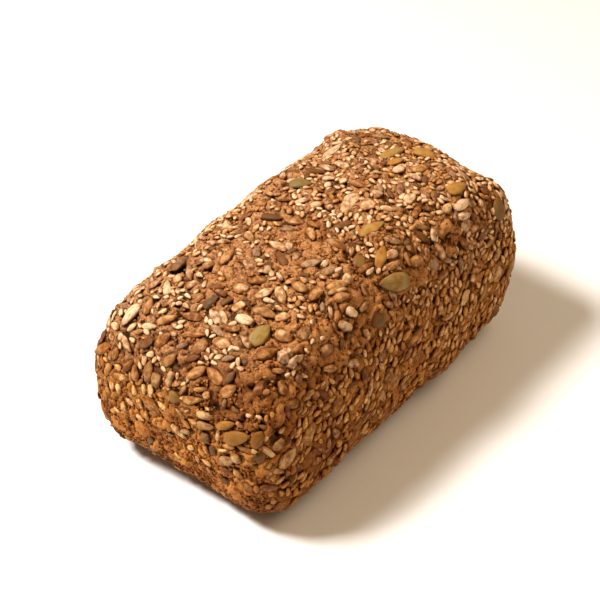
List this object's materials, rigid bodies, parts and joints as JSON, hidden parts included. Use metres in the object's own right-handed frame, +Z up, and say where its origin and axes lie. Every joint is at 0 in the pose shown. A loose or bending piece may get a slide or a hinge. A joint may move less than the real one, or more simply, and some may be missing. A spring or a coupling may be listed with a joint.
{
  "type": "seeded rye loaf",
  "caption": "Whole seeded rye loaf baked in a rectangular tin: rounded brick with a low domed top, crust studded with pumpkin seeds, sunflower kernels, sesame and oats.",
  "frame": {"origin": "middle of the face that the loaf stands on", "axes": "+X along the loaf, +Y across it, +Z up out of the domed top"},
  "size_m": [0.2027, 0.1152, 0.1001],
  "materials": {
    "crust": "rough baked rye crust, orange-brown with darker pores",
    "sunflower_kernel": "toasted sunflower kernels, dull satin, pale tan to grey tan",
    "pumpkin_seed": "toasted hulled pumpkin seeds, satin, olive to golden brown",
    "sesame_seed": "toasted sesame seeds, satin cream",
    "oat_flake": "rolled oat and rye flakes, dry and matte",
    "linseed": "brown linseed and scorched bran, satin"
  },
  "bodies": {
    "root": {"loaf": "crust"}
  },
  "joints": []
}
